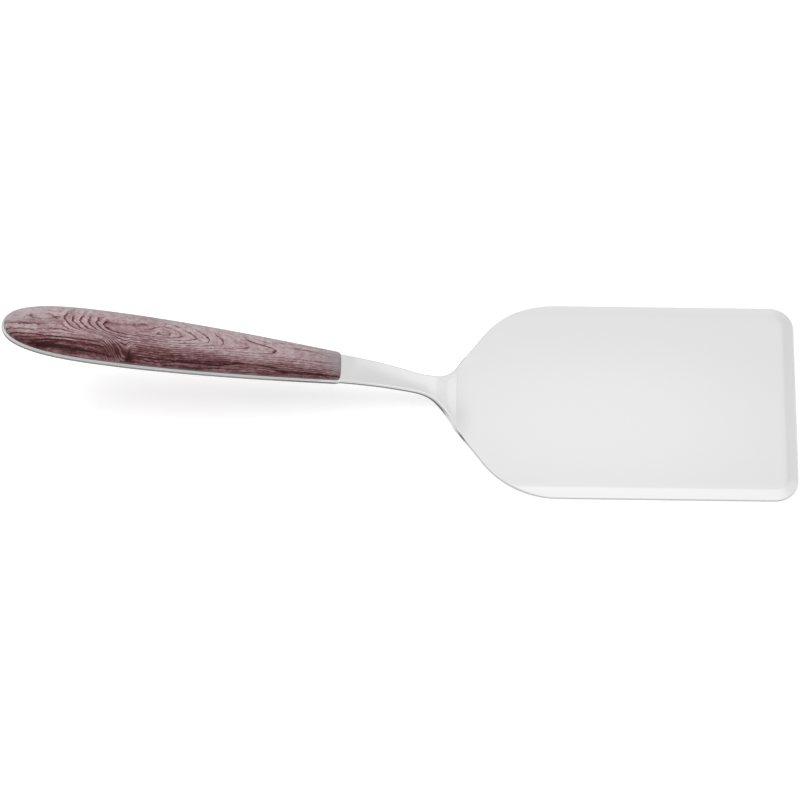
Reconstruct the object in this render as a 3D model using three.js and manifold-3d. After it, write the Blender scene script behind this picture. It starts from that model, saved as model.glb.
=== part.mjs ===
// A lasagna server in millimetres, +Z up: one stamped and bent steel body that is blade, neck
// and full-length tang, two wooden handle scales, and three blind pins that locate them.
// +X points to the front edge of the blade, the handle rises towards -X, and the flat underside
// of the blade lies on z = 0. The part is symmetrical about y = 0.

import * as THREE from 'three';
import { mergeVertices } from 'three/addons/utils/BufferGeometryUtils.js';
import Module from 'manifold-3d';

const wasm = await Module();
wasm.setup();

const degrees = THREE.MathUtils.degToRad;

// Steel sheet
const sheetThickness = 1.8;
const edgeBreak = 0.25;

// Blade, measured forwards from the fold at its rear
const bladeLength = 129.4;
const bladeWidth = 84.6;
const frontCornerRadius = 9.3;
const bevelWidth = 4;
const bevelDrop = 1;
const shoulderReach = 20.3;
const shoulderAngle = degrees(53.9);
const shoulderRadius = 35;

// Neck, with its waist measured back from the fold along the sheet
const waistSetback = 19.6;
const waistWidth = 8.4;
const neckEndWidth = 12.2;
const flareRadius = 24;

// Bends of the middle of the sheet, from the blade up to the handle
const foldRadius = 1.6;
const riserAngle = degrees(45);
const riserLength = 9.9;
const crestRadius = 18;
const crestAngle = degrees(28);
const sweepRadius = 131;
const handleTilt = degrees(13.2);

// Tang, measured along the handle from the end of the last bend
const tangStart = 1.9;
const tangStartWidth = 12.9;
const tangLength = 130.26;
const tangWidth = 22.3;
const tangWidest = 87;
const taperShare = 0.64;
const tipLengthShare = 0.32;
const tipWidthShare = 1.04;

// Wooden scales, one on each face of the tang
const ledge = 0.5;
const glueGap = 0.3;
const scaleStart = 0.9;
const scaleCornerRadius = 1.8;
const scaleWall = 0.6;
const scaleCrown = 4.9;
const crownPower = 0.6;
const scaleLip = 1.6;

// Blind pins through the tang into both scales
const pinDiameter = 3;
const pinClearance = 0.3;
const pinGrip = 2.6;
const pinChamfer = 0.3;
const frontPinInset = 15;
const rearPinInset = 22;

// Drills run past the faces that they cut
const overrun = 1;

// Steps along curves
const closestStations = 0.1;
const arcStep = degrees(6);
const foldSteps = 8;
const crestSteps = 5;
const sweepSteps = 12;
const curveSteps = 18;
const domeSteps = 14;
const pinSides = 24;

// Meshes

// Collects triangles, leaves out those that have shrunk to a line, and joins them into one mesh.
class Shell {
  constructor() {
    this.positions = [];
  }

  triangle(a, b, c) {
    if (a.equals(b) || b.equals(c) || c.equals(a)) return;
    for (const point of [a, b, c]) this.positions.push(...point.toArray());
  }

  quad(a, b, c, d) {
    this.triangle(a, b, c);
    this.triangle(a, c, d);
  }

  geometry() {
    const geometry = new THREE.BufferGeometry();
    geometry.setAttribute('position', new THREE.Float32BufferAttribute(this.positions, 3));
    return mergeVertices(geometry);
  }
}

function toSolid(geometry) {
  const bare = geometry.clone();
  bare.deleteAttribute('normal');
  bare.deleteAttribute('uv');
  const merged = mergeVertices(bare);
  const mesh = new wasm.Mesh({
    numProp: 3,
    vertProperties: merged.getAttribute('position').array,
    triVerts: Uint32Array.from(merged.getIndex().array),
  });
  return new wasm.Manifold(mesh);
}

function cut(geometry, tools) {
  const solid = tools.reduce((rest, tool) => rest.subtract(toSolid(tool)), toSolid(geometry));
  const mesh = solid.getMesh();
  const result = new THREE.BufferGeometry();
  result.setAttribute('position', new THREE.BufferAttribute(mesh.vertProperties, mesh.numProp));
  result.setIndex(new THREE.BufferAttribute(mesh.triVerts, 1));
  return result;
}

// Outlines: each lists the +Y half of a symmetrical shape, from its rear to its front, as points
// of distance along and half-width.

// Replaces the corner between two straight lines by an arc.
function roundedCorner(before, corner, after, radius) {
  const back = before.clone().sub(corner).normalize();
  const ahead = after.clone().sub(corner).normalize();
  const halfAngle = back.angleTo(ahead) / 2;
  const turn = (2 * halfAngle - Math.PI) * Math.sign(back.cross(ahead));
  const steps = Math.ceil(Math.abs(turn) / arcStep);
  const centre = back.clone().add(ahead).setLength(radius / Math.sin(halfAngle)).add(corner);
  const start = back.setLength(radius / Math.tan(halfAngle)).add(corner);
  const points = [];
  for (let i = 0; i <= steps; i += 1) {
    points.push(start.clone().rotateAround(centre, turn * i / steps));
  }
  return points;
}

// Moves a half outline inwards. It starts on the centre line, and a straight end closes it.
function inset(points, distance) {
  return points.map((point, i) => {
    const next = points[i + 1] ?? new THREE.Vector2(point.x, -point.y);
    const ahead = next.clone().sub(point).normalize();
    const mirrored = new THREE.Vector2(-ahead.x, ahead.y);
    const back = i > 0 ? point.clone().sub(points[i - 1]).normalize() : mirrored;
    const along = back.clone().add(ahead).normalize();
    const offset = new THREE.Vector2(along.y, -along.x).multiplyScalar(distance / back.dot(along));
    return offset.add(point);
  });
}

// Adds points where an outline passes the given distances along it, unless it has one close by.
function splitAt(points, distances) {
  const result = [];
  points.forEach((to, i) => {
    const from = points[i - 1] ?? to;
    const inside = (x) => x > from.x + closestStations && x < to.x - closestStations;
    const passed = distances.filter(inside).sort((a, b) => a - b);
    for (const x of passed) result.push(from.clone().lerp(to, (x - from.x) / (to.x - from.x)));
    result.push(to);
  });
  return result;
}

// Bends of the sheet, in order from the fold back to the tang

const bends = [
  { from: 0, to: riserAngle, length: foldRadius * riserAngle, steps: foldSteps },
  { from: riserAngle, to: riserAngle, length: riserLength, steps: 1 },
  {
    from: riserAngle,
    to: crestAngle,
    length: crestRadius * (riserAngle - crestAngle),
    steps: crestSteps,
  },
  {
    from: crestAngle,
    to: handleTilt,
    length: sweepRadius * (crestAngle - handleTilt),
    steps: sweepSteps,
  },
];
const bentLength = bends.reduce((sum, bend) => sum + bend.length, 0);

// The middle of the sheet at a distance back from the fold, and how steeply it climbs there.
function middleLine(distance) {
  let [x, z, climb, left] = [0, sheetThickness / 2, 0, distance];
  for (const bend of bends) {
    if (left <= 0) break;
    const run = Math.min(left, bend.length);
    climb = THREE.MathUtils.lerp(bend.from, bend.to, run / bend.length);
    const halfTurn = (climb - bend.from) / 2;
    const chord = halfTurn === 0 ? run : run * Math.sin(halfTurn) / halfTurn;
    x -= chord * Math.cos(bend.from + halfTurn);
    z += chord * Math.sin(bend.from + halfTurn);
    left -= run;
  }
  x -= left * Math.cos(climb);
  z += left * Math.sin(climb);
  return { x, z, climb };
}

// A point of the sheet: ahead of the fold, across it, and above its middle.
function sheetPoint(ahead, across, above) {
  if (ahead >= 0) return new THREE.Vector3(ahead, across, sheetThickness / 2 + above);
  const { x, z, climb } = middleLine(-ahead);
  return new THREE.Vector3(x + above * Math.sin(climb), across, z + above * Math.cos(climb));
}

function bendStations() {
  const stations = [0];
  let start = 0;
  for (const bend of bends) {
    for (let i = 1; i <= bend.steps; i += 1) stations.push(start - bend.length * i / bend.steps);
    start -= bend.length;
  }
  return stations;
}

// Half outline of the tang, in the handle's own frame, where the tip is at -tangLength.
function tangSide() {
  const half = tangWidth / 2;
  const tipReach = (tangLength - tangWidest) * tipLengthShare;
  const tip = new THREE.CubicBezierCurve(
    new THREE.Vector2(-tangLength, 0),
    new THREE.Vector2(-tangLength, half * tipWidthShare),
    new THREE.Vector2(-tangWidest - tipReach, half),
    new THREE.Vector2(-tangWidest, half),
  );
  const taper = new THREE.QuadraticBezierCurve(
    new THREE.Vector2(-tangWidest, half),
    new THREE.Vector2(-THREE.MathUtils.lerp(tangStart, tangWidest, taperShare), half),
    new THREE.Vector2(-tangStart, tangStartWidth / 2),
  );
  return [...tip.getPoints(curveSteps), ...taper.getPoints(curveSteps).slice(1)];
}

// Half outline of the whole steel sheet before it is bent, measured ahead of the fold.
function bodyOutline() {
  const half = bladeWidth / 2;
  const tang = tangSide().map((point) => new THREE.Vector2(point.x - bentLength, point.y));
  const tangCorner = tang.pop();
  const neckEnd = new THREE.Vector2(tangCorner.x, neckEndWidth / 2);
  const step = roundedCorner(tang[tang.length - 1], tangCorner, neckEnd, tangCorner.y - neckEnd.y);

  const taper = (neckEnd.y - waistWidth / 2) / (neckEnd.x + waistSetback);
  const slope = Math.tan(shoulderAngle);
  const rise = half - slope * shoulderReach - neckEnd.y + taper * neckEnd.x;
  const flareAt = rise / (taper - slope);
  const flare = new THREE.Vector2(flareAt, half - slope * (shoulderReach - flareAt));
  const shoulder = new THREE.Vector2(shoulderReach, half);
  const front = new THREE.Vector2(bladeLength, half);
  return [
    ...tang.filter((point) => point.x < step[0].x),
    ...step,
    neckEnd,
    ...roundedCorner(neckEnd, flare, shoulder, flareRadius),
    ...roundedCorner(flare, shoulder, front, shoulderRadius),
    ...roundedCorner(shoulder, front, new THREE.Vector2(bladeLength, 0), frontCornerRadius),
  ];
}

// How far the ground bevel lowers the top of the blade at a point of the sheet.
function bevelDepth(point) {
  const pastCorner = point.x - bladeLength + frontCornerRadius;
  const besideCorner = point.y - bladeWidth / 2 + frontCornerRadius;
  const fromEdge = pastCorner > 0 && besideCorner > 0
    ? frontCornerRadius - Math.hypot(pastCorner, besideCorner)
    : frontCornerRadius - Math.max(pastCorner, besideCorner);
  return bevelDrop * THREE.MathUtils.clamp(1 - fromEdge / bevelWidth, 0, 1);
}

// One ring round the sheet: along the +Y side to the front, and back along the -Y side.
function ring(points, height) {
  const left = points.map((point) => sheetPoint(point.x, point.y, height(point)));
  const right = left.map((point) => point.clone().setY(-point.y)).reverse();
  return [...left, ...right];
}

function steelBody(handleFrame) {
  const top = sheetThickness / 2;
  const outline = splitAt(bodyOutline(), bendStations());
  const edge = inset(outline, edgeBreak);
  const cornerStart = bladeLength - frontCornerRadius;
  const bevelLine = inset(outline, bevelWidth).map((point, i) => {
    if (outline[i].x > cornerStart) return point;
    return edge[i].clone().setY(Math.min(edge[i].y, bladeWidth / 2 - bevelWidth));
  });
  const rings = [
    ring(edge, () => -top),
    ring(outline, () => edgeBreak - top),
    ring(outline, (point) => top - bevelDepth(point) - edgeBreak),
    ring(edge, (point) => top - bevelDepth(point)),
    ring(bevelLine, () => top),
  ];

  const shell = new Shell();
  const count = rings[0].length;
  for (let level = 1; level < rings.length; level += 1) {
    const [below, above] = [rings[level - 1], rings[level]];
    for (let i = 0; i < count; i += 1) {
      const j = (i + 1) % count;
      shell.quad(below[i], above[i], above[j], below[j]);
    }
  }
  const [under, over] = [rings[0], rings[rings.length - 1]];
  for (let i = 1; i < outline.length; i += 1) {
    const [mirrored, mirroredNext] = [count - i, count - 1 - i];
    shell.quad(over[i - 1], over[mirrored], over[mirroredNext], over[i]);
    shell.quad(under[i - 1], under[i], under[mirroredNext], under[mirrored]);
  }
  const holes = pinPlaces().map((x) => {
    return drill(-top - overrun, top + overrun).translate(x, 0, 0).applyMatrix4(handleFrame);
  });
  return cut(shell.geometry(), holes);
}

// Half outline of a scale: the tang's outline moved in by the ledge, with a straight front end.
function scaleOutline() {
  const tang = tangSide();
  const [previous, last] = tang.slice(-2);
  const beyond = last.clone().multiplyScalar(2).sub(previous);
  const side = inset([...tang, beyond], ledge).slice(0, -1);
  const [from, to] = side.slice(-2);
  const corner = from.clone().lerp(to, (-scaleStart - from.x) / (to.x - from.x));
  const centre = new THREE.Vector2(-scaleStart, 0);
  const arc = roundedCorner(from, corner, centre, scaleCornerRadius);
  return [...side.filter((point) => point.x < arc[0].x), ...arc];
}

// Height of a scale's crown above its wall, softened at the front end.
function crownRise(point) {
  const share = (point.y / (tangWidth / 2 - ledge)) ** crownPower;
  const toFront = THREE.MathUtils.clamp(-scaleStart - point.x, 0, scaleLip);
  const softening = scaleLip - Math.sqrt(scaleLip ** 2 - (scaleLip - toFront) ** 2);
  return (scaleCrown - scaleWall) * share - softening;
}

// A scale lies with its flat seat on z = 0, and its crown up.
function scale() {
  const hoops = scaleOutline().map((point) => {
    const rise = point.y > 0 ? crownRise(point) : 0;
    const hoop = [new THREE.Vector3(point.x, -point.y, 0)];
    for (let i = 0; i <= domeSteps; i += 1) {
      const angle = Math.PI * (i / domeSteps - 1 / 2);
      const across = point.y * Math.sin(angle);
      hoop.push(new THREE.Vector3(point.x, across, scaleWall + rise * Math.cos(angle)));
    }
    hoop.push(new THREE.Vector3(point.x, point.y, 0));
    return hoop;
  });

  const shell = new Shell();
  for (let k = 1; k < hoops.length; k += 1) {
    const [rear, front] = [hoops[k - 1], hoops[k]];
    rear.forEach((point, i) => {
      const j = (i + 1) % rear.length;
      shell.quad(point, front[i], front[j], rear[j]);
    });
  }
  const end = hoops[hoops.length - 1];
  for (let i = 2; i < end.length; i += 1) shell.triangle(end[0], end[i], end[i - 1]);
  const holes = pinPlaces().map((x) => drill(-overrun, pinGrip + pinClearance).translate(x, 0, 0));
  return cut(shell.geometry(), holes);
}

// Distances along the handle of the front, middle and rear pins
function pinPlaces() {
  const front = -scaleStart - frontPinInset;
  const rear = rearPinInset - tangLength;
  return [front, (front + rear) / 2, rear];
}

// An upright cylinder from one height to another, wide enough for a pin to pass.
function drill(low, high) {
  const radius = pinDiameter / 2 + pinClearance;
  const cylinder = new THREE.CylinderGeometry(radius, radius, high - low, pinSides);
  return cylinder.rotateX(Math.PI / 2).translate(0, 0, (low + high) / 2);
}

function pin() {
  const radius = pinDiameter / 2;
  const end = sheetThickness / 2 + glueGap + pinGrip;
  const profile = [
    new THREE.Vector2(0, -end),
    new THREE.Vector2(radius - pinChamfer, -end),
    new THREE.Vector2(radius, pinChamfer - end),
    new THREE.Vector2(radius, end - pinChamfer),
    new THREE.Vector2(radius - pinChamfer, end),
    new THREE.Vector2(0, end),
  ];
  return new THREE.LatheGeometry(profile, pinSides).rotateX(Math.PI / 2);
}

// Assembly

const steel = new THREE.MeshStandardMaterial({ color: 0xdcdcdc, roughness: 0.22, metalness: 1 });
const rosewood = new THREE.MeshStandardMaterial({ color: 0x7d5f62, roughness: 0.5, metalness: 0 });
const pinSteel = new THREE.MeshStandardMaterial({ color: 0xb9bbbd, roughness: 0.35, metalness: 1 });

function part(name, geometry, material) {
  const mesh = new THREE.Mesh(geometry, material);
  mesh.name = name;
  return mesh;
}

const handle = new THREE.Group();
const handleRoot = middleLine(bentLength);
handle.position.set(handleRoot.x, 0, handleRoot.z);
handle.rotation.y = handleTilt;
handle.updateMatrix();

const upperScale = part('upper_scale', scale(), rosewood);
upperScale.position.z = sheetThickness / 2 + glueGap;
const lowerScale = part('lower_scale', scale(), rosewood);
lowerScale.position.z = -sheetThickness / 2 - glueGap;
lowerScale.rotation.x = Math.PI;
handle.add(upperScale, lowerScale);

const pinNames = ['front_pin', 'middle_pin', 'rear_pin'];
pinPlaces().forEach((x, i) => {
  const located = part(pinNames[i], pin(), pinSteel);
  located.position.x = x;
  handle.add(located);
});

const server = new THREE.Group();
server.add(part('steel_body', steelBody(handle.matrix), steel), handle);

// The origin is under the middle of the whole length.
const box = new THREE.Box3().setFromObject(server, true);
server.position.x = -(box.min.x + box.max.x) / 2;

export default server;
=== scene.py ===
"""Looks of a lasagna server: a polished steel body and figured wooden scales on its tang.

Metres, +Z up. +X points to the front edge of the blade, and the handle rises towards -X.
"""

import math
from typing import NamedTuple

import bpy
from mathutils import Matrix, Vector


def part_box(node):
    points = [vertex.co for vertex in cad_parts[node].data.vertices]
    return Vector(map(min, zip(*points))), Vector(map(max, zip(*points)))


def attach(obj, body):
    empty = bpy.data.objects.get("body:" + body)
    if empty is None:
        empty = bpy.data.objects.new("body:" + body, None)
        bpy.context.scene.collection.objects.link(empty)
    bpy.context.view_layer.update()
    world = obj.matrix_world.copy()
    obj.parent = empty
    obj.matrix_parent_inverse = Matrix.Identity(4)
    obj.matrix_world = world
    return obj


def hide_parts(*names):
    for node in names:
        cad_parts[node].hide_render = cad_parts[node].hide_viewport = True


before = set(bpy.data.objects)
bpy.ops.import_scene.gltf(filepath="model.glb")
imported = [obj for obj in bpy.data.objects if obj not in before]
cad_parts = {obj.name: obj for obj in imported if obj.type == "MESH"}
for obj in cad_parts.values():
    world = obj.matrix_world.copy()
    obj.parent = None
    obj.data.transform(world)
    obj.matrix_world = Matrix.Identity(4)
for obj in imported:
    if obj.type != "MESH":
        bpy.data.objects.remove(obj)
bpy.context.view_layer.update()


class Pattern(NamedTuple):
    """A noise: features per unit of each coordinate, the slice it is taken from, its fineness."""
    frequencies: tuple
    offset: float = 0.0
    detail: float = 2.0
    roughness: float = 0.5


MM = 0.001
TOLERANCE = 0.000001

# Steel sheet
SHEET = 0.0018
UNDER_ROUNDING = 0.0003
UNDER_INSET = 0.00045
BLADE_EDGE_ROUNDING = 0.00028
NECK_EDGE_ROUNDING = 0.0007

# Blade, measured forwards from the fold at its rear
BLADE_LENGTH = 0.1294
BLADE_WIDTH = 0.0846
FRONT_CORNER_RADIUS = 0.0093
BEVEL_WIDTH = 0.004
BEVEL_DROP = 0.001
BEVEL_BLEND = 0.0005
BEVEL_BLEND_REACH = 0.002
SHOULDER_REACH = 0.0203
SHOULDER_ANGLE = math.radians(53.9)
SHOULDER_RADIUS = 0.035

# Neck, with its waist measured back from the fold along the sheet
WAIST_SETBACK = 0.0196
WAIST_WIDTH = 0.0084
NECK_END_WIDTH = 0.0122
FLARE_RADIUS = 0.024
STEP_LENGTH = 0.0013
NECK_DISH = 0.00035
NECK_DISH_START = 0.001
NECK_DISH_FULL = 0.009
NECK_DISH_END = 0.006

# Bends of the middle of the sheet, from the blade up to the handle
FOLD_RADIUS = 0.0016
RISER_ANGLE = math.radians(45)
RISER_LENGTH = 0.0099
CREST_RADIUS = 0.018
CREST_ANGLE = math.radians(28)
SWEEP_RADIUS = 0.131
HANDLE_TILT = math.radians(13.2)

# Each bend: climb at its start, climb at its end, and length
BENDS = [
    (0.0, RISER_ANGLE, FOLD_RADIUS * RISER_ANGLE),
    (RISER_ANGLE, RISER_ANGLE, RISER_LENGTH),
    (RISER_ANGLE, CREST_ANGLE, CREST_RADIUS * (RISER_ANGLE - CREST_ANGLE)),
    (CREST_ANGLE, HANDLE_TILT, SWEEP_RADIUS * (CREST_ANGLE - HANDLE_TILT)),
]
BENT_LENGTH = sum(length for start, end, length in BENDS)
FOLD_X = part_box("steel_body")[1][0] - BLADE_LENGTH

# Tang, measured along the handle from the end of the last bend
TANG_START = 0.0019
TANG_START_WIDTH = 0.0129
TANG_LENGTH = 0.13026
TANG_WIDTH = 0.0223
TANG_WIDEST = 0.087
TAPER_SHARE = 0.64
TIP_LENGTH_SHARE = 0.32
TIP_WIDTH_SHARE = 1.04

# Wooden scales
LEDGE = 0.0005
GLUE_LINE = 0.00003
SCALE_START = 0.0009
SCALE_CORNER_RADIUS = 0.0018
SCALE_WALL = 0.0006
SCALE_CROWN = 0.0049
CROWN_POWER = 0.6
SCALE_LIP = 0.0016
SEAT_EASING = 0.00015
END_EASING = 0.0004

# Steps along curves, in metres or as a count
FOLD_ZONE = 0.0054
FOLD_STEP = 0.00018
NECK_STEP = 0.0005
SIDE_STEP = 0.0012
CURVE_STEPS = 90
ARC_STEPS = 28
NECK_END_STEPS = 12
EDGE_STEPS = 6
BEVEL_STEPS = 18
ACROSS_STEPS = 14
DOME_STEPS = 56
EASING_STEPS = 5
SHARP_ANGLE = math.radians(50)

# How far the finely stepped rim reaches in over the sheet, from behind the fold to the blade
NECK_RIM_REACH = 0.0014
BLADE_RIM_REACH = 0.0064
RIM_CHANGE = (-0.002, 0.012)

# Rows of faces with the cut finish, from below: a strip under the sheet, its lower rounding and
# the cut itself. From a little behind the fold forwards, part of the upper rounding has it too.
REAR_CUT_ROWS = EDGE_STEPS + 2
CUT_ROWS = REAR_CUT_ROWS + 4
REAR_CUT_START = -0.006

# Photograph's camera: the target is the point under the middle of the picture
PHOTO_WIDTH = 800
SENSOR = 36.0
PIXELS_PER_METRE = 2612.9
CAMERA_DISTANCE = 1.792
CAMERA_ELEVATION = math.radians(60.5657)
CAMERA_ROLL = math.radians(0.7238)
CAMERA_TARGET = Vector((-0.0011817, 0.0, -0.0001871))

# In the looks below, a ramp is given by where it starts, where it ends, and its value at both.
# A peak is its place and reach, and a mark its place, reach and strength.

# Surround: what the steel mirrors in each direction, with headings in degrees from +X
AMBIENT = 0.5
BACK_SHARE = 0.5
MIRRORED_LEVEL = 1.024
OVERHEAD = (0.8, 1.0, 0.0, 0.09)
BACKDROP = (0.9, 0.99, 0.0, 0.9)
SIDE_GAP = (30, 45, 0.0, 0.212)
SIDE_GAP_EASING = (58, 86, 0.0, 0.112)
SIDE_GAP_TOP = (0.88, 0.97, 1.0, 0.0)
HIGH_GAP = [((0.45, 0.88), (0.2, 0.1), 0.15)]
VIEWER_GAP = [((-90, 0.1), (38, 0.62), 0.66)]

# Lamp and floor
KEY_WATTS = 7.2
KEY_SIZE = 0.76
KEY_PLACE = Vector((-0.45, -0.06, 1.11))
WHITE = (1.0, 1.0, 1.0)
FLOOR_COLOUR = (0.8, 0.8, 0.8)
FLOOR_GLOW = 0.48
FLOOR_MIRRORED_GLOW = 0.2
FLOOR_REACH = 3.0
FLOOR_DROP = 0.00005

# Steel, with places in millimetres
STEEL_DIM = (0.79, 0.79, 0.79)
STEEL_BRIGHT = (0.88, 0.88, 0.88)
STEEL_GROUND = (0.68, 0.68, 0.68)
# Painted reflection of the floor on the blade's cut edge
STEEL_REFLECTING_EDGE = (0.7, 0.7, 0.7)
STEEL_CUT = (0.34, 0.34, 0.34)
STEEL_DARK_CUT = (0.2, 0.2, 0.2)
POLISH_LINES = Pattern((0.05, 9, 9), detail=3)
POLISH_CLOUD = Pattern((0.04, 0.06, 0.06))
LINE_CONTRAST = 0.6
# A painted highlight over the middle of the blade, its place and reach in millimetres
BLADE_PAINTED_HIGHLIGHT = [((77, -9), (58, 28), 1.0)]
LINES_AND_HIGHLIGHT_TO_BRIGHT = (-0.5, 1.0, 0.0, 1.0)
# These two are measured ahead of the fold, and the ramp after them from a neck's length behind it
FOLD_GLINT = [((1.0, 17.0), (4.0, 3.0), 0.6)]
FOLD_SHADE = [((0.5, -9.0), (4.0, 8.0), 0.5)]
GROUND_TANG = (-3, -1, 1.0, 0.0)
SATIN_ROUGHNESS = 0.2
LINE_ROUGHNESS = 0.05
CLOUD_ROUGHNESS = 0.04
GROUND_ROUGHNESS = 0.1
LINE_DEPTH = 0.001
FOLD_RISE = 0.13
FOLD_RISE_REACH = 5

# Cut edge of the sheet, with places in millimetres ahead of the fold
CUT_MARKS = Pattern((0.4, 0.4, 9), detail=3)
CUT_NECK = (-6.2, -3.8, 1.0, 0.0)
CUT_PATCH = (1.6, 1.6)
CUT_MARK_CONTRAST = 0.3
# Painted glint on the cut edge just behind the fold
PAINTED_EDGE_GLINT = (-2.0, 2.0)
DARK_CUT = (-75, -60, 0.0, 1.0)
CUT_ROUGHNESS = 0.5
MARK_ROUGHNESS = 0.1
MARK_DEPTH = 0.00001

# Pins
PIN_DIM = (0.42, 0.42, 0.43)
PIN_BRIGHT = (0.56, 0.56, 0.57)
PIN_ROUGHNESS = 0.35
TURNING_MARKS = Pattern((12, 0.1, 0.1))
TURNING_TO_BRIGHT = (-0.3, 0.3, 0.0, 1.0)

# Wood: its colours from dark to light, and the gray that lies over it at the edges, mostly painted
# sheen
WOOD_SHADES = [
    (0.022, 0.002, 0.003),
    (0.092, 0.022, 0.024),
    (0.205, 0.092, 0.098),
    (0.34, 0.21, 0.223),
    (0.53, 0.42, 0.437),
]
WOOD_SHEEN_GRAY = (0.30, 0.285, 0.295)
WOOD_ROUGHNESS = 0.45
WOOD_SPECULAR = 0.1
COAT_WEIGHT = 0.6
COAT_ROUGHNESS = 0.25
COAT_IOR = 1.33
GRAIN_DEPTH = 0.00003

# Each scale: its node, the shift of its figure in millimetres, and whether it is turned over
SCALES = [
    ("upper_scale", -0.4, False),
    ("lower_scale", 23, True),
]

# Figure of the wood. Places are millimetres from the tip of the handle and across it.
FIBRES = Pattern((0.4, 2.2), detail=4, roughness=0.65)
STREAKS = Pattern((0.05, 0.5), offset=2, detail=3)
GRAIN = Pattern((1.4, 2.4, 2))
MOTTLE = Pattern((0.5, 0.9, 1), offset=11, detail=3)
PATCHES = Pattern((0.12, 0.3), offset=7)
FADING = Pattern((0.1, 7.3, 0.25), offset=4)
GAPS = Pattern((0.45, 0.7), offset=13)

# Rings are counted outwards from an eye, along an axis that isn't quite straight
EYE = 60
AHEAD_END = 44.5
BEHIND_END = 38.3
AXIS_ACROSS = 2.3
AXIS_FALL = 0.033
AXIS_RISE_BEHIND = (20, 30, 0.0, 0.9)
AXIS_DROP_AT_TIP = (8, 24, 1.2, 0.0)
RING_WAVES = Pattern((0.5, 1.1), offset=9)
RING_WAVE_SIZE = (15, 35, 0.6, 0.15)
SWAY_ALONG = Pattern((0.06, 0.15))
SWAY_ALONG_REACH = 3
SWAY_ACROSS = Pattern((0.09, 0.25), offset=3)
SWAY_ACROSS_REACH = 1.1

# Rings ahead of the eye
AHEAD_RINGS = 7
AHEAD_REACH = 43
AHEAD_POWER = 0.7
AHEAD_SWELL = (24, 10)
AHEAD_SWELL_RINGS = 0.45

# Rings behind the eye: on the axis, a little below it, and deep below it
BEHIND_RINGS = 2.6
BEHIND_REACH = 4
OUTER_START = 22
OUTER_DENSITY = 0.34
SHALLOW_START = 8
SHALLOW_DENSITY = 0.2
SHALLOW_OUTER_DENSITY = 0.15
SHALLOW_BLEND = (0, 2.5, 0.0, 1.0)
DEEP_RINGS = (36, 47, 8.2, 0.0)
DEEP_BLEND = (3, 7, 0.0, 1.0)
BEHIND_SPARSENESS = 0.3

# Rings below and above the axis, and up the wall of the scale
BELOW_DELAY = 1.1
BELOW_DENSITY = 1.2
BELOW_SPREAD = 0.011
ABOVE_RINGS = 5
ABOVE_REACH = 6
ABOVE_CROWDING = (22, 38, 1.0, 2.0)
ROUNDNESS = 1.9
COUNTED_HEIGHT = 1.2
HEIGHT_DENSITY = 0.8

# Knot at the near edge, and a small eye near the tip
KNOT_ALONG = 46.3
KNOT_ACROSS = -10.3
KNOT_REACH = 5.0
KNOT_RINGS = 5.5
KNOT_SQUEEZE = 4
SMALL_EYE = [((14, 3), (3.9, 1.4), 0.8)]

# Dark line at the end of each ring, as shares of a ring. It is thin where rings are sparse.
LINE_DARKEST = 0.97
LINE_END = 1.02
LINE_RISE = (-1.0, 0.0, 0.0, 1.0)
LINE_WIDTH = 0.58
SPARSE_THINNING = 0.49
LINE_FRAYING = 0.3
SPARSE_SMOOTHING = 0.2

# Strength of the lines
FADING_SHARE = 1.2
GAPS_SHARE = 0.5
NEAR_STRENGTH = 0.2
FAR_FAINTNESS = (4, 7.5, 0.0, 0.4)
STRENGTH_RANGE = (-0.35, 0.25, 0.0, 1.0)
BOLD_LINES = [
    ((30, 1.5), (9, 6), 0.3),
    ((42, -6), (6, 4), 0.3),
    ((100, -3), (30, 2.5), 0.25),
]
FAINT_LINES = [
    ((31, -3), (7, 1.8), 0.4),
    ((47, 1), (4, 1.5), 0.5),
    ((60, 2.2), (3, 2), 0.15),
    ((41, 4.6), (2.5, 1.0), 0.4),
    ((24, -9), (12, 1.6), 0.5),
    ((14, 3), (6, 3), 0.2),
    ((88, 4), (6, 3), 0.25),
    ((100, 1.5), (5, 3), 0.15),
    ((53.5, 2.4), (2.5, 1.2), 0.5),
]

# Dark near side of the wood, with its wavy border
NEAR_SIDE = (-7.2, -2.8, 1.0, 0.0)
BORDER = Pattern((0.05, 0.7), offset=5)
BORDER_WAVE = 2.5
BORDER_SHIFT = (50, 75, 0.0, 0.7)

# Tone: its level, what each pattern adds, and what changes towards the near side
WOOD_TONE = 0.86
NEAR_DARKENING = 0.38
PATCH_TONE = 0.25
GRAIN_TONE = 0.45
MOTTLE_TONE = 0.5
FIBRE_TONE = 0.6
NEAR_FIBRE_TONE = 0.6
STREAK_TONE = 0.5
NEAR_STREAK_TONE = 0.9
LINE_TONE = 0.72
NEAR_LINE_EASING = 0.35
TONE_MARKS = [
    ((80, 4), (22, 6), 0.05),
    ((44, 2), (14, 5), -0.08),
    ((20, -8.4), (7, 1.1), -0.35),
    ((42.5, -6.5), (4, 3), -0.15),
    ((47.8, -9.3), (1.8, 1.5), -0.6),
    ((25, -10.4), (14, 0.6), 0.2),
    ((47.5, -5.7), (2.5, 1.5), 0.3),
    ((44.6, -9.8), (1.6, 0.9), 0.35),
    ((63, -4.9), (5, 0.8), -0.18),
    ((25, -4.7), (4, 0.6), 0.15),
    ((110, 4.8), (5, 1.5), 0.2),
    ((98.6, 4.8), (3, 1), 0.2),
    ((2.5, -4.6), (3, 0.9), -0.25),
    ((15, -2.6), (7, 0.7), 0.2),
    ((19.5, 1.8), (2, 1.2), -0.25),
    ((10.5, 0.8), (4, 1.0), -0.22),
    ((69, -7.1), (6, 0.8), -0.2),
    ((62.3, 2.5), (1.6, 1.2), -0.2),
    ((111, -5.9), (4, 0.8), 0.15),
    ((117, 4.1), (4, 1.4), 0.18),
    ((125.5, 3.5), (3, 1.2), 0.15),
]

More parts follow.
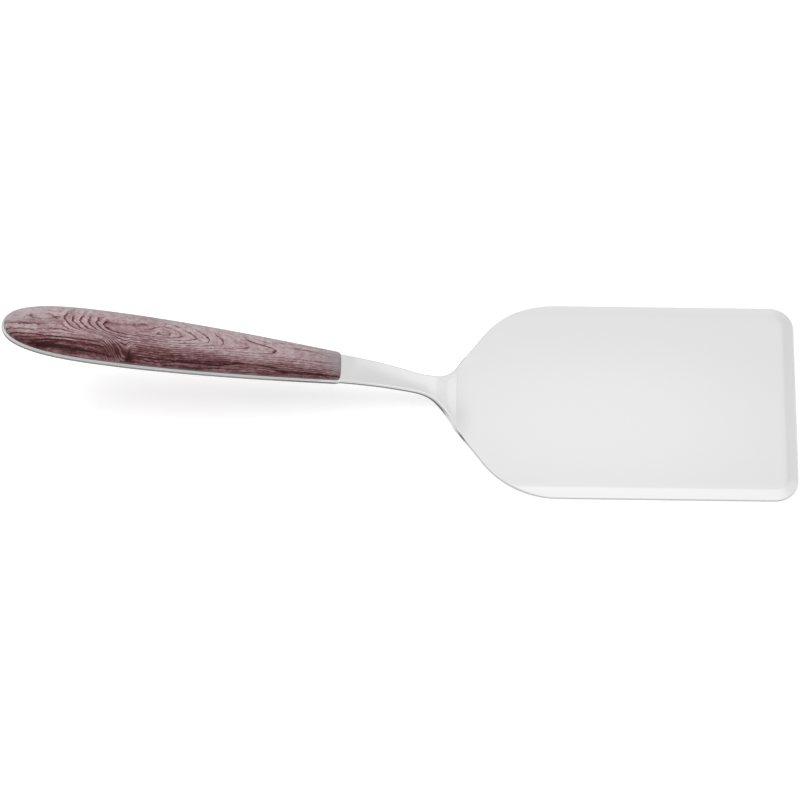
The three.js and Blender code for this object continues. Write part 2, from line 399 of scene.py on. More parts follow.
# Dark strokes: start, end, sag of the middle, half width and strength
STROKE_BEND = 0.5
STROKE_JITTER = 0.4
STROKE_FULLNESS = 2
STROKES = [
    ((3, -4.8), (36, -5.2), 0.1, 0.25, 0.5),
    ((13, -6.3), (39, -6.7), 0.2, 0.3, 0.5),
    ((24, -8.5), (43, -9.8), 0.2, 0.25, 0.4),
    ((9, -7.6), (36, -8.9), -0.2, 0.55, 0.3),
    ((49, -9.0), (66, -8.3), 0.2, 0.25, 0.4),
    ((62, -8.2), (84, -7.5), -0.3, 0.25, 0.6),
    ((80, -7.8), (89, -6.0), -0.2, 0.25, 0.6),
    ((86, -6.2), (105, -5.7), 0.2, 0.25, 0.5),
    ((102, -6.9), (134, -5.1), 0.2, 0.3, 0.6),
    ((89, 4.2), (103, 1.6), 0.1, 0.25, 0.3),
    ((108, 4.3), (128, 1.5), -0.1, 0.3, 0.25),
    ((117, -1.2), (128, -0.7), 0.0, 0.3, 0.35),
    ((118, -2.8), (129, -2.5), 0.0, 0.2, 0.2),
    ((115, -4.3), (129, -3.8), 0.0, 0.2, 0.2),
]

# Gray over the wood: painted sheen on the far flank, at the front lip and along the foot of the wall;
# gray at both ends and in patches
FLATTEST_CROWN = 0.3
FLANK_PAINTED_SHEEN = (1.8, 4.5, 0.0, 0.5)
FRONT_VEIL = (108, 124, 0.0, 0.4)
TIP_VEIL = (2, 14, 0.4, 0.0)
END_VEIL_ACROSS = (-6, 1, 0.0, 1.0)
LIP_PAINTED_SHEEN = (122.5, 128.5, 0.0, 0.7)
PATCH_VEIL = 0.25
GRAY_MARKS = [
    ((60.3, 2.2), (2.2, 1.8), 0.25),
    ((14, 3), (4, 1.5), 0.35),
]
SHEEN_AND_GRAY_BY_TONE = 1.2
FOOT_PAINTED_SHEEN = (0.5, 1.7, 0.4, 0.0)
FOOT_PAINTED_SHEEN_ALONG = (18, 40, 0.0, 1.0)
MOST_SHEEN_AND_GRAY = 0.7


# Sockets of a colour mix node, and the middle of what a noise node gives
MIX_COLOURS = (6, 7)
MIX_RESULT = 2
NOISE_MIDDLE = 0.5


# Node arithmetic

class Field:
    """A value that varies over a surface. Plain arithmetic on it adds math nodes to its tree."""

    def __init__(self, tree, socket):
        self.tree = tree
        self.socket = socket

    def math(self, operation, *others):
        node = self.tree.nodes.new("ShaderNodeMath")
        node.operation = operation
        for slot, value in zip(node.inputs, (self, *others)):
            connect(self.tree, value, slot)
        return Field(self.tree, node.outputs[0])

    def __add__(self, other):
        return self.math("ADD", other)

    def __sub__(self, other):
        return self.math("SUBTRACT", other)

    def __mul__(self, other):
        return self.math("MULTIPLY", other)

    def __truediv__(self, other):
        return self.math("DIVIDE", other)

    def __pow__(self, other):
        return self.math("POWER", other)

    def __neg__(self):
        return self * -1

    __radd__ = __add__
    __rmul__ = __mul__

    def __rsub__(self, other):
        return -self + other


def connect(tree, value, slot):
    """Puts a field or a plain value into an input of a node."""
    if isinstance(value, Field):
        tree.links.new(value.socket, slot)
    else:
        slot.default_value = value


def positive(value):
    """The value, or 0 where it is negative."""
    return value.math("MAXIMUM", 0.0)


def blend(start, end, share):
    """The start where the share is 0, and the end where it is 1. Works on numbers and fields."""
    return start + (end - start) * share


def ramp(value, low, high, at_low, at_high):
    """Goes smoothly from at_low to at_high while the value goes from low to high."""
    node = value.tree.nodes.new("ShaderNodeMapRange")
    node.interpolation_type = "SMOOTHSTEP"
    for slot, item in zip(node.inputs, (value, low, high, at_low, at_high)):
        connect(value.tree, item, slot)
    return Field(value.tree, node.outputs[0])


def straight_ramp(value, low, high):
    """Goes straight from 0 to 1 while the value goes from low to high."""
    return positive((value - low) / (high - low)).math("MINIMUM", 1.0)


def settling(distance, most, reach):
    """Grows with the distance, ever more slowly, towards the most."""
    return most - (distance / -reach).math("EXPONENT") * most


def peak(value, place, reach):
    """A smooth rise to 1 at one place, and down again."""
    offset = (value - place) / reach
    return (-(offset * offset)).math("EXPONENT")


def hill(along, across, place, reach):
    """A smooth hill 1 high over a place, with a reach of its own along and across."""
    x = (along - place[0]) / reach[0]
    y = (across - place[1]) / reach[1]
    return (-(x * x) - y * y).math("EXPONENT")


def marks(along, across, table):
    """The sum of the hills that a table of marks describes."""
    return sum(hill(along, across, place, reach) * strength for place, reach, strength in table)


def noise(pattern, *place):
    """Smooth noise about 0, mostly within -0.5 to 0.5."""
    tree = place[0].tree
    x, y, *z = [value * frequency for value, frequency in zip(place, pattern.frequencies)]
    point = tree.nodes.new("ShaderNodeCombineXYZ")
    for slot, value in zip(point.inputs, (x, y, sum(z) + pattern.offset)):
        connect(tree, value, slot)
    node = tree.nodes.new("ShaderNodeTexNoise")
    node.inputs["Scale"].default_value = 1.0
    node.inputs["Detail"].default_value = pattern.detail
    node.inputs["Roughness"].default_value = pattern.roughness
    tree.links.new(point.outputs[0], node.inputs["Vector"])
    return Field(tree, node.outputs["Fac"]) - NOISE_MIDDLE


def coordinates(tree, output):
    """The three Texture Coordinate values of that output, as fields."""
    source = tree.nodes.new("ShaderNodeTexCoord")
    split = tree.nodes.new("ShaderNodeSeparateXYZ")
    tree.links.new(source.outputs[output], split.inputs[0])
    return [Field(tree, socket) for socket in split.outputs]


def object_millimetres(tree):
    """The object's own coordinates, in millimetres."""
    return [value / MM for value in coordinates(tree, "Object")]


def mixed(share, colour, other):
    """One colour where the share is 0, and the other where it is 1."""
    node = share.tree.nodes.new("ShaderNodeMix")
    node.data_type = "RGBA"
    connect(share.tree, share, node.inputs["Factor"])
    for socket, value in zip(MIX_COLOURS, (colour, other)):
        value = value if isinstance(value, Field) else (*value, 1.0)
        connect(share.tree, value, node.inputs[socket])
    return Field(share.tree, node.outputs[MIX_RESULT])


def shades(tone, colours):
    """The colours one after the other while the tone goes from 0 to 1."""
    node = tone.tree.nodes.new("ShaderNodeValToRGB")
    stops = node.color_ramp.elements
    last = len(colours) - 1
    for i in range(1, last):
        stops.new(i / last)
    for stop, colour in zip(stops, colours):
        stop.color = (*colour, 1.0)
    connect(tone.tree, tone, node.inputs["Fac"])
    return Field(tone.tree, node.outputs["Color"])


def new_material(name):
    """A new material, its node tree and its shader."""
    material = bpy.data.materials.new(name)
    material.use_nodes = True
    return material, material.node_tree, material.node_tree.nodes["Principled BSDF"]


def bump(shader, height, distance):
    """Raises the surface by the height field times the distance."""
    tree = height.tree
    node = tree.nodes.new("ShaderNodeBump")
    node.inputs["Strength"].default_value = 1.0
    node.inputs["Distance"].default_value = distance
    tree.links.new(height.socket, node.inputs["Height"])
    tree.links.new(node.outputs[0], shader.inputs["Normal"])


# Steel

def satin_steel():
    """Stainless steel polished along its length, with faint lines, a little waviness and a painted
    highlight over the blade.
    """
    material, tree, shader = new_material("satin_steel")
    x, y, z = object_millimetres(tree)
    ahead = x - FOLD_X / MM
    lines = noise(POLISH_LINES, x, y, z)
    cloud = noise(POLISH_CLOUD, x, y, z)
    ground = ramp(ahead + BENT_LENGTH / MM, *GROUND_TANG)
    # Polish lines, plus the painted highlight over the middle of the blade
    glow = lines * LINE_CONTRAST + marks(x, y, BLADE_PAINTED_HIGHLIGHT)
    colour = mixed(ramp(glow, *LINES_AND_HIGHLIGHT_TO_BRIGHT), STEEL_DIM, STEEL_BRIGHT)
    colour = mixed(marks(ahead, y, FOLD_GLINT), colour, STEEL_BRIGHT)
    colour = mixed(marks(ahead, y, FOLD_SHADE), colour, STEEL_GROUND)
    roughness = lines * LINE_ROUGHNESS + cloud * CLOUD_ROUGHNESS + ground * GROUND_ROUGHNESS
    shader.inputs["Metallic"].default_value = 1.0
    connect(tree, mixed(ground, colour, STEEL_GROUND), shader.inputs["Base Color"])
    connect(tree, roughness + SATIN_ROUGHNESS, shader.inputs["Roughness"])
    rise = straight_ramp(ahead, FOLD_RISE_REACH, 0.0)
    bump(shader, lines * LINE_DEPTH + rise * rise * FOLD_RISE, MM)
    return material


def cut_steel():
    """The stamped edge of the sheet: duller steel, lighter once the blade begins, where it is a
    painted reflection of the floor, with a painted glint just behind the fold.
    """
    material, tree, shader = new_material("cut_steel")
    x, y, z = object_millimetres(tree)
    ahead = x - FOLD_X / MM
    grooves = noise(CUT_MARKS, x, y, z)
    dull = ramp(ahead, *CUT_NECK) + peak(ahead, *CUT_PATCH) + grooves * CUT_MARK_CONTRAST
    cut = mixed(ramp(ahead, *DARK_CUT), STEEL_CUT, STEEL_DARK_CUT)
    # Painted reflection along the blade's edge, and a painted glint just behind the fold
    reflecting_edge = mixed(peak(ahead, *PAINTED_EDGE_GLINT), STEEL_REFLECTING_EDGE, STEEL_BRIGHT)
    shader.inputs["Metallic"].default_value = 1.0
    connect(tree, mixed(dull, reflecting_edge, cut), shader.inputs["Base Color"])
    connect(tree, grooves * MARK_ROUGHNESS + CUT_ROUGHNESS, shader.inputs["Roughness"])
    bump(shader, grooves, MARK_DEPTH)
    return material


def turned_steel():
    """Plain steel with fine turning marks round the pins."""
    material, tree, shader = new_material("turned_steel")
    x, y, z = object_millimetres(tree)
    grooves = noise(TURNING_MARKS, z + x * math.tan(HANDLE_TILT), x, y)
    shader.inputs["Metallic"].default_value = 1.0
    colour = mixed(ramp(grooves, *TURNING_TO_BRIGHT), PIN_DIM, PIN_BRIGHT)
    connect(tree, colour, shader.inputs["Base Color"])
    connect(tree, grooves * MARK_ROUGHNESS + PIN_ROUGHNESS, shader.inputs["Roughness"])
    bump(shader, grooves, MARK_DEPTH)
    return material


# Wood

def handle_coordinates(tree):
    """Millimetres from the tip of the handle, across it, and away from the face of its tang."""
    x, y, z = coordinates(tree, "Object")
    root_x, root_z, climb = middle_line(BENT_LENGTH)
    x, z = x - root_x, z - root_z
    along = x * math.cos(climb) - z * math.sin(climb) + TANG_LENGTH
    above = x * math.sin(climb) + z * math.cos(climb)
    away = above.math("ABSOLUTE") - SHEET / 2
    return along / MM, y / MM, away / MM


def rings(along, across, height):
    """Counts growth rings, and says how sparse they are. All lengths are in millimetres."""
    waves = noise(RING_WAVES, along, across)
    along = along + noise(SWAY_ALONG, along, across) * SWAY_ALONG_REACH
    across = across + noise(SWAY_ACROSS, along, across) * SWAY_ACROSS_REACH
    past = positive(along - EYE)
    ahead = past.math("MINIMUM", AHEAD_END)
    behind = positive(EYE - along).math("MINIMUM", BEHIND_END)
    axis = AXIS_ACROSS - ahead * AXIS_FALL + ramp(behind, *AXIS_RISE_BEHIND)
    axis = axis - ramp(along, *AXIS_DROP_AT_TIP)
    below = positive(axis - across) * (1 + past * BELOW_SPREAD)
    above = positive(across - axis)

    front = (ahead / AHEAD_REACH) ** AHEAD_POWER * AHEAD_RINGS
    front = front + peak(ahead, *AHEAD_SWELL) * AHEAD_SWELL_RINGS
    outside = positive(behind - OUTER_START)
    rear = settling(behind, BEHIND_RINGS, BEHIND_REACH) + outside * OUTER_DENSITY
    shallow = positive(behind - SHALLOW_START) * SHALLOW_DENSITY + outside * SHALLOW_OUTER_DENSITY
    lower = blend(shallow, ramp(along, *DEEP_RINGS), ramp(below, *DEEP_BLEND))
    rear = blend(rear, lower, ramp(below, *SHALLOW_BLEND))
    down = below * below / (below + BELOW_DELAY) * BELOW_DENSITY
    up = settling(above, ABOVE_RINGS, ABOVE_REACH) * ramp(ahead, *ABOVE_CROWDING)
    count = ((rear + front) ** ROUNDNESS + (up + down) ** ROUNDNESS) ** (1 / ROUNDNESS)

    to_knot = along - KNOT_ALONG
    to_knot = to_knot.math("MAXIMUM", to_knot * KNOT_SQUEEZE)
    knot = hill(to_knot, across, (0, KNOT_ACROSS), (KNOT_REACH, KNOT_REACH))
    count = count - knot * KNOT_RINGS - marks(along, across, SMALL_EYE)
    count = count + waves * ramp(ahead, *RING_WAVE_SIZE)
    count = count + height.math("MINIMUM", COUNTED_HEIGHT) * HEIGHT_DENSITY
    return count, ((front + rear * BEHIND_SPARSENESS) / count).math("MINIMUM", 1.0)


def ring_lines(count, sparse, fibre):
    """The dark lines that end the rings, frayed by the fibres, and the number of each ring."""
    ring = (count - (LINE_END - 1)).math("FLOOR")
    phase = count - ring + fibre * (LINE_FRAYING - sparse * SPARSE_SMOOTHING)
    rise = (phase - LINE_DARKEST) / (LINE_WIDTH - sparse * SPARSE_THINNING)
    return ramp(rise, *LINE_RISE) * ramp(phase, LINE_DARKEST, LINE_END, 1.0, 0.0), ring


def near_side(along, y):
    """1 at the near side of the wood, 0 at its middle and beyond."""
    border = y + noise(BORDER, along, y) * BORDER_WAVE - ramp(along, *BORDER_SHIFT)
    return ramp(border, *NEAR_SIDE)


def line_strength(along, y, ring, gaps, near):
    """How dark the ring lines are: each ring fades and breaks off in its own places."""
    fade = noise(FADING, along, ring, y)
    bold = marks(along, y, BOLD_LINES) - marks(along, y, FAINT_LINES)
    bold = bold + near * NEAR_STRENGTH - ramp(y, *FAR_FAINTNESS)
    return ramp(fade * FADING_SHARE + gaps * GAPS_SHARE + bold, *STRENGTH_RANGE)


def stroke(along, across, start, end, sag, half_width):
    """A dark line 1 strong from a start to an end, its middle shifted across by the sag."""
    share = straight_ramp(along, start[0], end[0])
    bulge = share * (1 - share) * 4  # 1 in the middle of the stroke, 0 at its ends
    centre = share * (end[1] - start[1]) + bulge * sag + start[1]
    return peak(across, centre, half_width) * (bulge * STROKE_FULLNESS).math("MINIMUM", 1.0)


def strokes(along, across):
    """The sum of all the listed strokes."""
    return sum(stroke(along, across, *line) * strength for *line, strength in STROKES)


def painted_sheen_and_gray(along, y, z, patch, tone):
    """How much gray lies over the wood: most on light wood, and on its far flank. On the far flank,
    the front lip and the foot of the wall it is painted sheen.
    """
    slant = y / (z - SCALE_WALL / MM).math("MAXIMUM", FLATTEST_CROWN)
    ends = ramp(along, *FRONT_VEIL) + ramp(along, *TIP_VEIL)
    # Painted sheen on the far flank and the front lip; gray towards both ends, in patches and at the
    # eyes
    sheen_and_gray = ramp(slant, *FLANK_PAINTED_SHEEN) + ends * ramp(y, *END_VEIL_ACROSS) + patch * PATCH_VEIL
    sheen_and_gray = sheen_and_gray + marks(along, y, GRAY_MARKS) + ramp(along, *LIP_PAINTED_SHEEN)
    sheen_and_gray = positive(sheen_and_gray * tone * SHEEN_AND_GRAY_BY_TONE)
    # Painted sheen along the foot of the wall
    foot = ramp(z, *FOOT_PAINTED_SHEEN) * ramp(along, *FOOT_PAINTED_SHEEN_ALONG)
    return (sheen_and_gray + foot).math("MINIMUM", MOST_SHEEN_AND_GRAY)


def rosewood(name, shift):
    """Figured wood: dark ring lines round an eye, fibres along them, and a satin coat."""
    material, tree, shader = new_material(name)
    along, y, z = handle_coordinates(tree)
    along = along + shift
    count, sparse = rings(along, y, z)
    fibre = noise(FIBRES, along, count)
    streak = noise(STREAKS, along, count)
    grain = noise(GRAIN, along, y, z)
    mottle = noise(MOTTLE, along, y, z)
    patch = noise(PATCHES, along, y)
    gaps = noise(GAPS, along, y)
    near = near_side(along, y)
    line, ring = ring_lines(count, sparse, fibre)
    strength = line_strength(along, y, ring, gaps, near)

    tone = WOOD_TONE - near * NEAR_DARKENING + marks(along, y, TONE_MARKS)
    tone = tone + patch * PATCH_TONE + grain * GRAIN_TONE + mottle * MOTTLE_TONE
    tone = tone + fibre * (FIBRE_TONE + near * NEAR_FIBRE_TONE)
    tone = tone + streak * (STREAK_TONE + near * NEAR_STREAK_TONE)
    tone = tone - line * strength * (LINE_TONE - near * NEAR_LINE_EASING)
    tone = tone - strokes(along, y + gaps * STROKE_BEND + mottle * STROKE_JITTER)
    # Gray and painted sheen laid over the wood's colour
    sheen_and_gray = painted_sheen_and_gray(along, y, z, patch, tone)
    connect(tree, mixed(sheen_and_gray, shades(tone, WOOD_SHADES), WOOD_SHEEN_GRAY), shader.inputs["Base Color"])
    shader.inputs["Roughness"].default_value = WOOD_ROUGHNESS
    shader.inputs["Specular IOR Level"].default_value = WOOD_SPECULAR
    shader.inputs["Coat Weight"].default_value = COAT_WEIGHT
    shader.inputs["Coat Roughness"].default_value = COAT_ROUGHNESS
    shader.inputs["Coat IOR"].default_value = COAT_IOR
    bump(shader, fibre - line, GRAIN_DEPTH)
    return material


# Sheet geometry

def middle_line(distance):
    """The middle of the sheet at a distance back from the fold: x, z and how steeply it climbs."""
    x, z, climb, left = FOLD_X, SHEET / 2, 0.0, distance
    for start, end, length in BENDS:
        if left <= 0:
            break
        run = min(left, length)
        climb = start + (end - start) * run / length
        half_turn = (climb - start) / 2
        chord = run * math.sin(half_turn) / half_turn if half_turn else run
        x -= chord * math.cos(start + half_turn)
        z += chord * math.sin(start + half_turn)
        left -= run
    if left > 0:
        x -= left * math.cos(climb)
        z += left * math.sin(climb)
    return x, z, climb


def sheet_point(ahead, across, above):
    """A point of the sheet: ahead of the fold, across it, and above its middle."""
    if ahead >= 0:
        return Vector((FOLD_X + ahead, across, SHEET / 2 + above))
    x, z, climb = middle_line(-ahead)
    return Vector((x + above * math.sin(climb), across, z + above * math.cos(climb)))


def smooth(value, low, high):
    """Goes smoothly from 0 to 1 while the value goes from low to high."""
    share = min(max((value - low) / (high - low), 0.0), 1.0)
    return share * share * (3 - 2 * share)


def bezier(points, share):
    """A point of the Bezier curve with these control points."""
    while len(points) > 1:
        points = [a.lerp(b, share) for a, b in zip(points, points[1:])]
    return points[0]


def rounded_corner(before, corner, after, radius):
    """The arc that replaces the corner between two straight lines."""
    back = (before - corner).normalized()
    ahead = (after - corner).normalized()
    half_angle = back.angle(ahead) / 2
    side = -1 if back.cross(ahead) < 0 else 1
    turn = (2 * half_angle - math.pi) * side
    centre = corner + (back + ahead).normalized() * (radius / math.sin(half_angle))
    start = corner + back * (radius / math.tan(half_angle)) - centre
    steps = range(ARC_STEPS + 1)
    return [centre + Matrix.Rotation(turn * i / ARC_STEPS, 2) @ start for i in steps]


def tang_side():
    """Half outline of the tang in the handle's own frame, from its tip to its start."""
    half = TANG_WIDTH / 2
    tip_reach = (TANG_LENGTH - TANG_WIDEST) * TIP_LENGTH_SHARE
    tip = [
        Vector((-TANG_LENGTH, 0.0)),
        Vector((-TANG_LENGTH, half * TIP_WIDTH_SHARE)),
        Vector((-TANG_WIDEST - tip_reach, half)),
        Vector((-TANG_WIDEST, half)),
    ]
    shoulder = TANG_START + (TANG_WIDEST - TANG_START) * TAPER_SHARE
    taper = [tip[-1], Vector((-shoulder, half)), Vector((-TANG_START, TANG_START_WIDTH / 2))]
    shares = [i / CURVE_STEPS for i in range(CURVE_STEPS + 1)]
    return [bezier(tip, share) for share in shares] + [bezier(taper, share) for share in shares[1:]]


def body_outline():
    """Half outline of the whole sheet before it is bent, measured ahead of the fold."""
    half = BLADE_WIDTH / 2
    tang = [Vector((point.x - BENT_LENGTH, point.y)) for point in tang_side()]
    tang_end = tang[-1]
    neck_end = Vector((tang_end.x + STEP_LENGTH, NECK_END_WIDTH / 2))
    step = []
    for i in range(1, NECK_END_STEPS):
        share = i / NECK_END_STEPS
        width = blend(neck_end.y, tang_end.y, (1 + math.cos(math.pi * share)) / 2)
        step.append(Vector((tang_end.x + STEP_LENGTH * share, width)))

    taper = (neck_end.y - WAIST_WIDTH / 2) / (neck_end.x + WAIST_SETBACK)
    slope = math.tan(SHOULDER_ANGLE)
    rise = half - slope * SHOULDER_REACH - neck_end.y + taper * neck_end.x
    flare_at = rise / (taper - slope)
    flare = Vector((flare_at, half - slope * (SHOULDER_REACH - flare_at)))
    shoulder = Vector((SHOULDER_REACH, half))
    front = Vector((BLADE_LENGTH, half))
    return [
        *tang,
        *step,
        neck_end,
        *rounded_corner(neck_end, flare, shoulder, FLARE_RADIUS),
        *rounded_corner(flare, shoulder, front, SHOULDER_RADIUS),
        *rounded_corner(shoulder, front, Vector((BLADE_LENGTH, 0.0)), FRONT_CORNER_RADIUS),
    ]


def resampled(points):
    """The same outline with points close enough together for its bends and its edges."""
    result = [points[0]]
    for start, end in zip(points, points[1:]):
        middle = (start.x + end.x) / 2
        if abs(middle) < FOLD_ZONE:
            step = FOLD_STEP
        elif -BENT_LENGTH < middle < SHOULDER_REACH:
            step = NECK_STEP
        else:
            step = SIDE_STEP
        pieces = max(1, math.ceil((end - start).length / step))
        result += [start.lerp(end, (i + 1) / pieces) for i in range(pieces)]
    return result


def inward(points):
    """The direction into the sheet at each point of a half outline."""
    result = []
    for i, point in enumerate(points):
        after = points[i + 1] if i + 1 < len(points) else Vector((point.x, -point.y))
        ahead = (after - point).normalized()
        back = (point - points[i - 1]).normalized() if i else Vector((-ahead.x, ahead.y))
        along = (back + ahead).normalized()
        result.append(Vector((along.y, -along.x)) / back.dot(along))
    return result


def bevel_depth(x, y):
    """How far the ground bevel lowers the top of the blade at a point of the sheet."""
    past_corner = x - BLADE_LENGTH + FRONT_CORNER_RADIUS
    beside_corner = abs(y) - BLADE_WIDTH / 2 + FRONT_CORNER_RADIUS
    if past_corner > 0 and beside_corner > 0:
        from_edge = FRONT_CORNER_RADIUS - math.hypot(past_corner, beside_corner)
    else:
        from_edge = FRONT_CORNER_RADIUS - max(past_corner, beside_corner)
    inside = BEVEL_WIDTH - from_edge
    softened = (inside + math.hypot(inside, BEVEL_BLEND)) / 2
    return BEVEL_DROP * softened / BEVEL_WIDTH if inside > -BEVEL_BLEND_REACH else 0.0


def dish(x, y, half):
    """How far the neck is dished at a point of it, where the neck is half this wide."""
    start = smooth(x, NECK_DISH_START - BENT_LENGTH, NECK_DISH_FULL - BENT_LENGTH)
    share = start * smooth(-x, 0.0, NECK_DISH_END)
    return NECK_DISH * share * max(0.0, 1 - (y / half) ** 2) if share else 0.0


def mesh_object(name, vertices, faces, material):
    """An object in the scene, shaded smooth except where its faces meet at a sharp angle."""
    mesh = bpy.data.meshes.new(name)
    mesh.from_pydata([tuple(vertex) for vertex in vertices], [], faces)
    mesh.validate()
    mesh.polygons.foreach_set("use_smooth", [True] * len(mesh.polygons))
    mesh.set_sharp_from_angle(angle=SHARP_ANGLE)
    mesh.materials.append(material)
    piece = bpy.data.objects.new(name, mesh)
    bpy.context.scene.collection.objects.link(piece)
    return piece


def edge_profile(point, normal):
    """Points round the edge of the sheet and in over its bevel: x, y and height, from below."""
    on_blade = smooth(point.x, 0.0, SHOULDER_REACH)
    rounding = blend(NECK_EDGE_ROUNDING, BLADE_EDGE_ROUNDING, on_blade)
    reach = blend(NECK_RIM_REACH, BLADE_RIM_REACH, smooth(point.x, *RIM_CHANGE))
    quarter = [math.pi / 2 * i / EDGE_STEPS for i in range(EDGE_STEPS + 1)]
    profile = []

    def add(inset, height):
        place = point + normal * inset
        profile.append((place.x, place.y, height))

    def top(inset):
        place = point + normal * inset
        return SHEET / 2 - bevel_depth(place.x, place.y)

    add(UNDER_INSET, -SHEET / 2)
    for angle in quarter:
        add(UNDER_ROUNDING * (1 - math.sin(angle)), UNDER_ROUNDING * (1 - math.cos(angle)) - SHEET / 2)
    for angle in quarter:
        inset = rounding * (1 - math.cos(angle))
        add(inset, top(inset) - rounding * (1 - math.sin(angle)))
    for i in range(1, BEVEL_STEPS + 1):
        inset = blend(rounding, reach, i / BEVEL_STEPS)
        add(inset, top(inset))
    return profile


def steel_body(material, edge_material):
    """The whole bent sheet: its edge profile round the outline, and strips across between."""
    outline = resampled(body_outline())
    profiles = [edge_profile(point, normal) for point, normal in zip(outline, inward(outline))]
    levels = len(profiles[0])
    vertices, faces = [], []

    def add(x, y, height, half):
        vertices.append(sheet_point(x, y, height - dish(x, y, half)))
        return len(vertices) - 1

    left, right = [
        [
            [add(x, side * y, height, point.y) for x, y, height in profile]
            for point, profile in zip(outline, profiles)
        ]
        for side in (1, -1)
    ]
    loop = left + right[::-1]
    for here, after in zip(loop, loop[1:] + loop[:1]):
        for k in range(levels - 1):
            faces.append((here[k], here[k + 1], after[k + 1], after[k]))

    for level, upwards in ((0, False), (levels - 1, True)):
        rows = []
        for i, point in enumerate(outline):
            x, y, height = profiles[i][level]
            row = [left[i][level]]
            for k in range(1, ACROSS_STEPS):
                row.append(add(x, y * (1 - 2 * k / ACROSS_STEPS), height, point.y))
            rows.append(row + [right[i][level]])
        for here, after in zip(rows, rows[1:]):
            for k in range(ACROSS_STEPS):
                quad = (here[k], here[k + 1], after[k + 1], after[k])
                faces.append(quad if upwards else quad[::-1])

    body = mesh_object("steel_server_body", vertices, faces, material)
    body.data.materials.append(edge_material)
    for k in range(len(loop)):
        at_rear = outline[min(k, len(loop) - 1 - k)].x < REAR_CUT_START
        for level in range(REAR_CUT_ROWS if at_rear else CUT_ROWS):
            body.data.polygons[k * (levels - 1) + level].material_index = 1
    return body


# Scale geometry

def scale_outline():
    """Half outline of a scale: the tang's moved in by the ledge, with a straight front end."""
    tang = tang_side()
    tang.append(tang[-1] * 2 - tang[-2])
    side = [point + normal * LEDGE for point, normal in zip(tang, inward(tang))][:-1]
    before, last = side[-2:]
    corner = before.lerp(last, (-SCALE_START - before.x) / (last.x - before.x))
    arc = rounded_corner(before, corner, Vector((-SCALE_START, 0.0)), SCALE_CORNER_RADIUS)
    return [point for point in side if point.x < arc[0].x] + arc


def crown_rise(x, y):
    """Height of a scale's crown above its wall, softened at the front end."""
    share = (y / (TANG_WIDTH / 2 - LEDGE)) ** CROWN_POWER
    to_front = min(max(-SCALE_START - x, 0.0), SCALE_LIP)
    softening = SCALE_LIP - math.sqrt(SCALE_LIP ** 2 - (SCALE_LIP - to_front) ** 2)
    return (SCALE_CROWN - SCALE_WALL) * share - softening


def hoop(x, half, rise, drawn_in=0.0):
    """One section across a scale, from one edge of its seat over the crown to the other."""
    easing = min(SEAT_EASING, half / 2)
    half = max(half - drawn_in, 0.0)
    rise = rise - drawn_in if half else 0.0
    points = [(x, easing - half, 0.0), (x, -half, easing)]
    for i in range(DOME_STEPS + 1):
        angle = math.pi * (i / DOME_STEPS - 1 / 2)
        points.append((x, half * math.sin(angle), SCALE_WALL + rise * math.cos(angle)))
    return points + [(x, half, easing), (x, half - easing, 0.0)]


def scale(name, material, turned):
    """A scale on the upper face of the tang, or turned over on the lower face."""
    outline = scale_outline()
    hoops = []
    for point in outline:
        if point.x < -SCALE_START - END_EASING:
            hoops.append(hoop(point.x, point.y, crown_rise(point.x, point.y)))
    for i in range(EASING_STEPS + 1):
        angle = math.pi / 2 * i / EASING_STEPS
        x = -SCALE_START - END_EASING * (1 - math.sin(angle))
        half = next(point.y for point in outline if point.x >= x - TOLERANCE)
        drawn_in = END_EASING * (1 - math.cos(angle))
        hoops.append(hoop(x, max(half, outline[-1].y), crown_rise(x, half), drawn_in))

    count = len(hoops[0])
    vertices = [point for section in hoops for point in section]
    faces = []
    for k in range(len(hoops) - 1):
        for i in range(count):
            j = (i + 1) % count
            faces.append((k * count + i, (k + 1) * count + i, (k + 1) * count + j, k * count + j))
    faces.append(tuple(range((len(hoops) - 1) * count, len(hoops) * count))[::-1])

    x, z, climb = middle_line(BENT_LENGTH)
    seat = Matrix.Translation((0, 0, SHEET / 2 + GLUE_LINE))
    flip = Matrix.Rotation(math.pi if turned else 0.0, 4, "X")
    place = Matrix.Translation((x, 0, z)) @ Matrix.Rotation(climb, 4, "Y") @ flip @ seat
    return mesh_object(name, [place @ Vector(point) for point in vertices], faces, material)


# Stage, light and camera

def studio_world():
    """A white surround for the camera, and a softly graded one for what the steel mirrors."""
    world = bpy.data.worlds.new("studio")
    bpy.context.scene.world = world
    world.use_nodes = True
    tree = world.node_tree
    x, y, z = coordinates(tree, "Generated")
    path = tree.nodes.new("ShaderNodeLightPath")
    camera_ray = Field(tree, path.outputs["Is Camera Ray"])
    glossy_ray = Field(tree, path.outputs["Is Glossy Ray"])
    heading = y.math("ARCTAN2", x) * math.degrees(1)
    beside = ramp(heading, *SIDE_GAP) - ramp(heading, *SIDE_GAP_EASING)
    gap = (beside * ramp(z, *SIDE_GAP_TOP)).math("MAXIMUM", marks(x, z, HIGH_GAP))
    mirrored = MIRRORED_LEVEL + ramp(z, *OVERHEAD) + ramp(y, *BACKDROP)
    mirrored = mirrored - gap - marks(heading, z, VIEWER_GAP)
    lit = blend((y * BACK_SHARE + 1) * AMBIENT, mirrored, glossy_ray)
    background = tree.nodes["Background"]
    connect(tree, blend(lit, 1.0, camera_ray), background.inputs["Strength"])
    background.inputs["Color"].default_value = (*WHITE, 1.0)


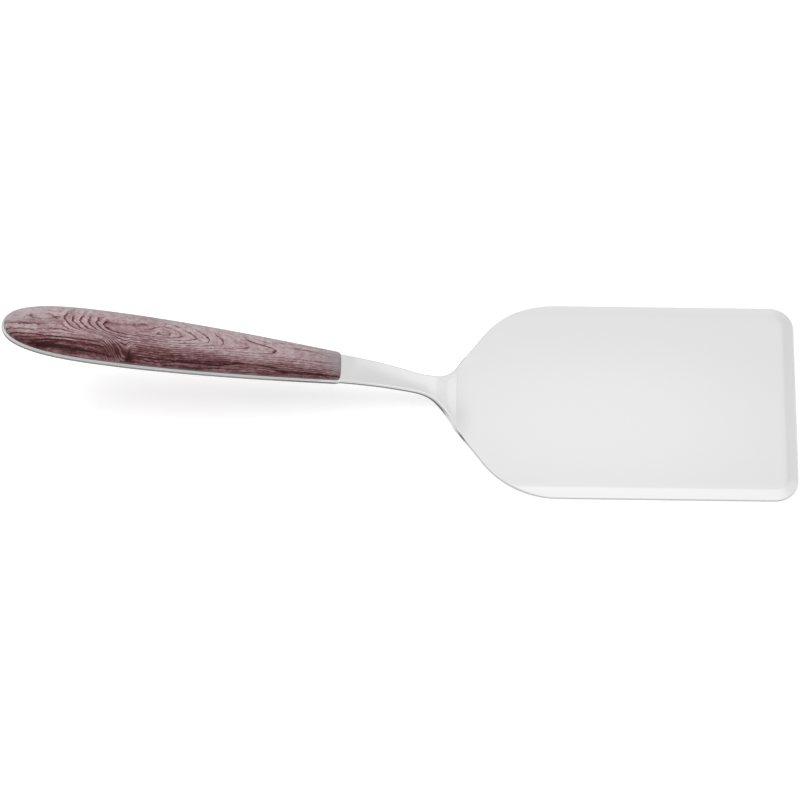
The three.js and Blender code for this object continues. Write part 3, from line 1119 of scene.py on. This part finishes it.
def floor():
    """A white floor that keeps the soft shadow of the handle."""
    material, tree, shader = new_material("white_floor")
    path = tree.nodes.new("ShaderNodeLightPath")
    camera_ray, glossy_ray, transmission_ray = [
        Field(tree, path.outputs[name])
        for name in ("Is Camera Ray", "Is Glossy Ray", "Is Transmission Ray")
    ]
    mirrored = (glossy_ray + transmission_ray).math("MINIMUM", 1.0)
    glow = camera_ray * FLOOR_GLOW + mirrored * FLOOR_MIRRORED_GLOW
    shader.inputs["Base Color"].default_value = (*FLOOR_COLOUR, 1.0)
    shader.inputs["Specular IOR Level"].default_value = 0.0
    shader.inputs["Roughness"].default_value = 1.0
    shader.inputs["Emission Color"].default_value = (*WHITE, 1.0)
    connect(tree, glow, shader.inputs["Emission Strength"])
    signs = [(-1, -1), (1, -1), (1, 1), (-1, 1)]
    corners = [(x * FLOOR_REACH, y * FLOOR_REACH, 0.0) for x, y in signs]
    plane = mesh_object("floor", corners, [(0, 1, 2, 3)], material)
    plane.location.z = -FLOOR_DROP


def key_lamp():
    """A soft box high over the handle's side, which the steel doesn't mirror."""
    lamp = bpy.data.lights.new("soft_box", "AREA")
    lamp.shape = "DISK"
    lamp.size = KEY_SIZE
    lamp.energy = KEY_WATTS
    holder = bpy.data.objects.new("soft_box", lamp)
    turn = KEY_PLACE.to_track_quat("Z", "Y").to_matrix().to_4x4()
    holder.matrix_world = Matrix.Translation(KEY_PLACE) @ turn
    holder.visible_glossy = False
    bpy.context.scene.collection.objects.link(holder)


def camera():
    """The photograph's camera, on the near side of the server and looking down on it."""
    data = bpy.data.cameras.new("camera")
    data.sensor_width = SENSOR
    data.lens = SENSOR * PIXELS_PER_METRE * CAMERA_DISTANCE / PHOTO_WIDTH
    holder = bpy.data.objects.new("camera", data)
    back = Vector((0, -math.cos(CAMERA_ELEVATION), math.sin(CAMERA_ELEVATION)))
    turn = (-back).to_track_quat("-Z", "Y").to_matrix().to_4x4()
    place = Matrix.Translation(CAMERA_TARGET + back * CAMERA_DISTANCE)
    holder.matrix_world = place @ turn @ Matrix.Rotation(CAMERA_ROLL, 4, "Z")
    bpy.context.scene.collection.objects.link(holder)
    bpy.context.scene.camera = holder


# Assembly

camera()
studio_world()
floor()
key_lamp()

body = steel_body(satin_steel(), cut_steel())
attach(body, "root")
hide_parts("steel_body")

for node, shift, turned in SCALES:
    wooden = scale("wooden_" + node, rosewood("rosewood_" + node, shift), turned)
    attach(wooden, "root")
    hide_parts(node)

pin_material = turned_steel()
for node in ("front_pin", "middle_pin", "rear_pin"):
    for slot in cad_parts[node].material_slots:
        slot.material = pin_material

bpy.context.scene.view_settings.view_transform = "Standard"
